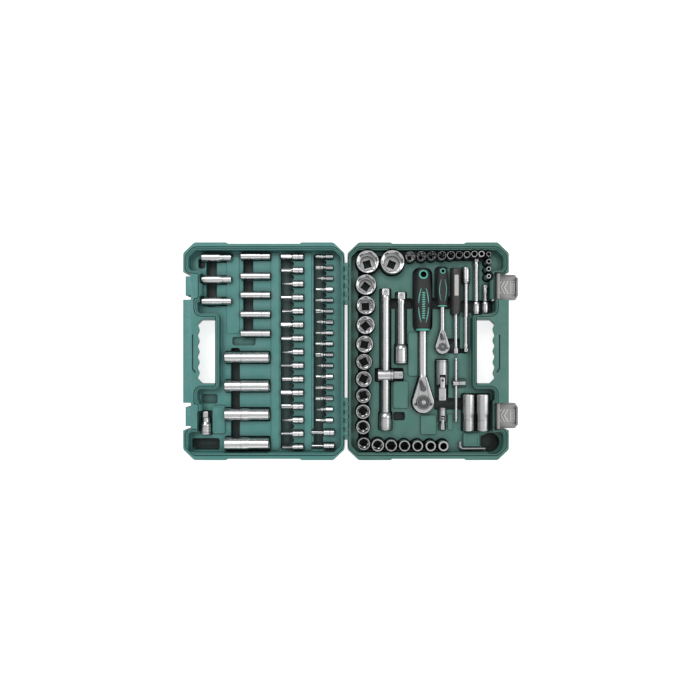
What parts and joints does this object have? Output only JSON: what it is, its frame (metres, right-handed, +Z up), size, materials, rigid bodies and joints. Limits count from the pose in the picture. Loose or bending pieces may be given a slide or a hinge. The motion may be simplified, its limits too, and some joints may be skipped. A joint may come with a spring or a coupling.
{
  "type": "socket wrench set in case",
  "caption": "Open two-half carrying case with sockets, ratchets, extension bars, universal joints and T-handles lying in fitted pockets.",
  "frame": {"origin": "middle of the open set's bounding box, on the surface it lies on", "axes": "+X from lid to base across the hinge, +Y along the hinge, +Z up out of the tray"},
  "size_m": [0.5916, 0.382, 0.0474],
  "materials": {
    "base_plastic": "matte moulded",
    "lid_plastic": "matte moulded",
    "smoked_plastic": "smoked, translucent",
    "grip_rubber": "soft matte",
    "grip_plastic": "matte",
    "chrome": "satin chrome plate",
    "satin_steel": "satin",
    "dark_steel": "dark satin"
  },
  "bodies": {
    "base": {"case_base": "base_plastic", "hinge_pin_upper": "satin_steel", "hinge_pin_lower": "satin_steel", "latch_pin_upper": "satin_steel", "latch_pin_lower": "satin_steel"},
    "lid": {"case_lid": "lid_plastic"},
    "latch_upper": {"latch_upper": "smoked_plastic"},
    "latch_lower": {"latch_lower": "smoked_plastic"},
    "ratchet_half": {"ratchet_half_body": "chrome", "ratchet_half_grip": "grip_rubber"},
    "ratchet_half_lever": {"ratchet_half_lever": "dark_steel"},
    "ratchet_half_drive": {"ratchet_half_drive": "satin_steel"},
    "ratchet_half_button": {"ratchet_half_button": "chrome"},
    "ratchet_quarter": {"ratchet_quarter_body": "chrome", "ratchet_quarter_grip": "grip_rubber"},
    "ratchet_quarter_lever": {"ratchet_quarter_lever": "dark_steel"},
    "ratchet_quarter_drive": {"ratchet_quarter_drive": "satin_steel"},
    "spinner": {"spinner_grip": "grip_plastic", "spinner_shaft": "chrome"},
    "bar_half_250": {"bar_half_250": "chrome"},
    "tee_head": {"tee_head_half": "satin_steel"},
    "bar_half_125": {"bar_half_125": "chrome"},
    "bar_quarter_150": {"bar_quarter_150": "chrome"},
    "bar_quarter_100": {"bar_quarter_100": "chrome"},
    "bar_quarter_50": {"bar_quarter_50": "chrome"},
    "tee_rod": {"tee_rod_quarter": "chrome"},
    "tee_slider": {"tee_slider_quarter": "satin_steel"},
    "universal_half": {"universal_half_socket": "satin_steel"},
    "universal_half_cross": {"universal_half_cross": "dark_steel"},
    "universal_half_drive": {"universal_half_drive": "satin_steel"},
    "universal_quarter": {"universal_quarter_socket": "satin_steel"},
    "universal_quarter_cross": {"universal_quarter_cross": "dark_steel"},
    "universal_quarter_drive": {"universal_quarter_drive": "satin_steel"},
    "plug_socket_16": {"plug_socket_16": "chrome"},
    "plug_socket_21": {"plug_socket_21": "chrome"},
    "hex_key": {"hex_key": "satin_steel"},
    "drive_adapter": {"drive_adapter": "chrome"},
    "socket_30": {"socket_half_30": "chrome"},
    "socket_32": {"socket_half_32": "chrome"},
    "socket_27": {"socket_half_27": "chrome"},
    "socket_24": {"socket_half_24": "chrome"},
    "socket_23": {"socket_half_23": "chrome"},
    "socket_22": {"socket_half_22": "chrome"},
    "socket_21": {"socket_half_21": "chrome"},
    "socket_20": {"socket_half_20": "chrome"},
    "socket_19": {"socket_half_19": "chrome"},
    "socket_18": {"socket_half_18": "chrome"},
    "socket_17": {"socket_half_17": "chrome"},
    "socket_16": {"socket_half_16": "chrome"},
    "socket_15": {"socket_half_15": "chrome"},
    "socket_14": {"socket_half_14": "chrome"},
    "socket_13": {"socket_half_13": "chrome"},
    "socket_12": {"socket_half_12": "chrome"},
    "socket_11": {"socket_half_11": "chrome"},
    "socket_10": {"socket_half_10": "chrome"},
    "deep_socket_14": {"deep_socket_half_14": "chrome"},
    "deep_socket_15": {"deep_socket_half_15": "chrome"},
    "deep_socket_17": {"deep_socket_half_17": "chrome"},
    "deep_socket_19": {"deep_socket_half_19": "chrome"}
  },
  "joints": [
    {"name": "case_hinge", "type": "hinge", "parent": "base", "child": "lid", "pos_m": [-0.0102, 0, 0.045], "axis": [0, -1, 0], "range_deg": [-180, 0]},
    {"name": "latch_upper_swing", "type": "hinge", "parent": "base", "child": "latch_upper", "pos_m": [0.2578, 0.1145, 0.038], "axis": [0, 1, 0], "range_deg": [-90, 0]},
    {"name": "latch_lower_swing", "type": "hinge", "parent": "base", "child": "latch_lower", "pos_m": [0.2578, -0.1145, 0.038], "axis": [0, 1, 0], "range_deg": [-90, 0]},
    {"name": "ratchet_half_spin", "type": "hinge", "parent": "ratchet_half", "child": "ratchet_half_drive", "pos_m": [0.1262, -0.09, 0.03], "axis": [0, 0, 1], "continuous": true},
    {"name": "ratchet_half_reverse", "type": "hinge", "parent": "ratchet_half", "child": "ratchet_half_lever", "pos_m": [0.1262, -0.066, 0.039], "axis": [0, 0, 1], "range_deg": [-40, 0]},
    {"name": "ratchet_half_release", "type": "slide", "parent": "ratchet_half_drive", "child": "ratchet_half_button", "axis": [0, 0, -1], "range_m": [0, 0.002], "stiffness_N_per_m": 300},
    {"name": "ratchet_quarter_spin", "type": "hinge", "parent": "ratchet_quarter", "child": "ratchet_quarter_drive", "pos_m": [0.1606, 0.0079, 0.031], "axis": [0, 0, 1], "continuous": true},
    {"name": "ratchet_quarter_reverse", "type": "hinge", "parent": "ratchet_quarter", "child": "ratchet_quarter_lever", "pos_m": [0.1606, 0.0225, 0.037], "axis": [0, 0, 1], "range_deg": [-40, 0]},
    {"name": "tee_head_turn", "type": "hinge", "parent": "bar_half_250", "child": "tee_head", "pos_m": [0.0598, -0.042, 0.03], "axis": [0, -1, 0], "range_deg": [0, 90]},
    {"name": "tee_slider_slide", "type": "slide", "parent": "tee_rod", "child": "tee_slider", "axis": [0, 1, 0], "range_m": [-0.003, 0.003]},
    {"name": "universal_half_lift", "type": "hinge", "parent": "universal_half", "child": "universal_half_cross", "pos_m": [0.1602, -0.05125, 0.03], "axis": [-1, 0, 0], "range_deg": [0, 45]},
    {"name": "universal_half_swing", "type": "hinge", "parent": "universal_half_cross", "child": "universal_half_drive", "pos_m": [0.1602, -0.05125, 0.03], "axis": [0, 0, 1], "range_deg": [-8, 8]},
    {"name": "universal_quarter_lift", "type": "hinge", "parent": "universal_quarter", "child": "universal_quarter_cross", "pos_m": [0.1611, -0.1196, 0.03], "axis": [-1, 0, 0], "range_deg": [0, 45]},
    {"name": "universal_quarter_swing", "type": "hinge", "parent": "universal_quarter_cross", "child": "universal_quarter_drive", "pos_m": [0.1611, -0.1196, 0.03], "axis": [0, 0, 1], "range_deg": [-8, 8]},
    {"name": "lift_ratchet_half", "type": "slide", "parent": "base", "child": "ratchet_half", "axis": [0, 0, 1], "range_m": [0, 0.08]},
    {"name": "lift_ratchet_quarter", "type": "slide", "parent": "base", "child": "ratchet_quarter", "axis": [0, 0, 1], "range_m": [0, 0.08]},
    {"name": "lift_spinner", "type": "slide", "parent": "base", "child": "spinner", "axis": [0, 0, 1], "range_m": [0, 0.08]},
    {"name": "lift_bar_half_250", "type": "slide", "parent": "base", "child": "bar_half_250", "axis": [0, 0, 1], "range_m": [0, 0.08]},
    {"name": "lift_bar_half_125", "type": "slide", "parent": "base", "child": "bar_half_125", "axis": [0, 0, 1], "range_m": [0, 0.08]},
    {"name": "lift_bar_quarter_150", "type": "slide", "parent": "base", "child": "bar_quarter_150", "axis": [0, 0, 1], "range_m": [0, 0.08]},
    {"name": "lift_bar_quarter_100", "type": "slide", "parent": "base", "child": "bar_quarter_100", "axis": [0, 0, 1], "range_m": [0, 0.08]},
    {"name": "lift_bar_quarter_50", "type": "slide", "parent": "base", "child": "bar_quarter_50", "axis": [0, 0, 1], "range_m": [0, 0.08]},
    {"name": "lift_tee_rod", "type": "slide", "parent": "base", "child": "tee_rod", "axis": [0, 0, 1], "range_m": [0, 0.08]},
    {"name": "lift_universal_half", "type": "slide", "parent": "base", "child": "universal_half", "axis": [0, 0, 1], "range_m": [0, 0.08]},
    {"name": "lift_universal_quarter", "type": "slide", "parent": "base", "child": "universal_quarter", "axis": [0, 0, 1], "range_m": [0, 0.08]},
    {"name": "lift_plug_socket_16", "type": "slide", "parent": "base", "child": "plug_socket_16", "axis": [0, 0, 1], "range_m": [0, 0.08]},
    {"name": "lift_plug_socket_21", "type": "slide", "parent": "base", "child": "plug_socket_21", "axis": [0, 0, 1], "range_m": [0, 0.08]},
    {"name": "lift_hex_key", "type": "slide", "parent": "base", "child": "hex_key", "axis": [0, 0, 1], "range_m": [0, 0.08]},
    {"name": "lift_drive_adapter", "type": "slide", "parent": "lid", "child": "drive_adapter", "axis": [0, 0, 1], "range_m": [0, 0.08]},
    {"name": "lift_socket_30", "type": "slide", "parent": "base", "child": "socket_30", "axis": [0, 0, 1], "range_m": [0, 0.08]},
    {"name": "lift_socket_32", "type": "slide", "parent": "base", "child": "socket_32", "axis": [0, 0, 1], "range_m": [0, 0.08]},
    {"name": "lift_socket_27", "type": "slide", "parent": "base", "child": "socket_27", "axis": [0, 0, 1], "range_m": [0, 0.08]},
    {"name": "lift_socket_24", "type": "slide", "parent": "base", "child": "socket_24", "axis": [0, 0, 1], "range_m": [0, 0.08]},
    {"name": "lift_socket_23", "type": "slide", "parent": "base", "child": "socket_23", "axis": [0, 0, 1], "range_m": [0, 0.08]},
    {"name": "lift_socket_22", "type": "slide", "parent": "base", "child": "socket_22", "axis": [0, 0, 1], "range_m": [0, 0.08]},
    {"name": "lift_socket_21", "type": "slide", "parent": "base", "child": "socket_21", "axis": [0, 0, 1], "range_m": [0, 0.08]},
    {"name": "lift_socket_20", "type": "slide", "parent": "base", "child": "socket_20", "axis": [0, 0, 1], "range_m": [0, 0.08]},
    {"name": "lift_socket_19", "type": "slide", "parent": "base", "child": "socket_19", "axis": [0, 0, 1], "range_m": [0, 0.08]},
    {"name": "lift_socket_18", "type": "slide", "parent": "base", "child": "socket_18", "axis": [0, 0, 1], "range_m": [0, 0.08]},
    {"name": "lift_socket_17", "type": "slide", "parent": "base", "child": "socket_17", "axis": [0, 0, 1], "range_m": [0, 0.08]},
    {"name": "lift_socket_16", "type": "slide", "parent": "base", "child": "socket_16", "axis": [0, 0, 1], "range_m": [0, 0.08]},
    {"name": "lift_socket_15", "type": "slide", "parent": "base", "child": "socket_15", "axis": [0, 0, 1], "range_m": [0, 0.08]},
    {"name": "lift_socket_14", "type": "slide", "parent": "base", "child": "socket_14", "axis": [0, 0, 1], "range_m": [0, 0.08]},
    {"name": "lift_socket_13", "type": "slide", "parent": "base", "child": "socket_13", "axis": [0, 0, 1], "range_m": [0, 0.08]},
    {"name": "lift_socket_12", "type": "slide", "parent": "base", "child": "socket_12", "axis": [0, 0, 1], "range_m": [0, 0.08]},
    {"name": "lift_socket_11", "type": "slide", "parent": "base", "child": "socket_11", "axis": [0, 0, 1], "range_m": [0, 0.08]},
    {"name": "lift_socket_10", "type": "slide", "parent": "base", "child": "socket_10", "axis": [0, 0, 1], "range_m": [0, 0.08]},
    {"name": "lift_deep_socket_14", "type": "slide", "parent": "lid", "child": "deep_socket_14", "axis": [0, 0, 1], "range_m": [0, 0.08]},
    {"name": "lift_deep_socket_15", "type": "slide", "parent": "lid", "child": "deep_socket_15", "axis": [0, 0, 1], "range_m": [0, 0.08]},
    {"name": "lift_deep_socket_17", "type": "slide", "parent": "lid", "child": "deep_socket_17", "axis": [0, 0, 1], "range_m": [0, 0.08]},
    {"name": "lift_deep_socket_19", "type": "slide", "parent": "lid", "child": "deep_socket_19", "axis": [0, 0, 1], "range_m": [0, 0.08]}
  ]
}
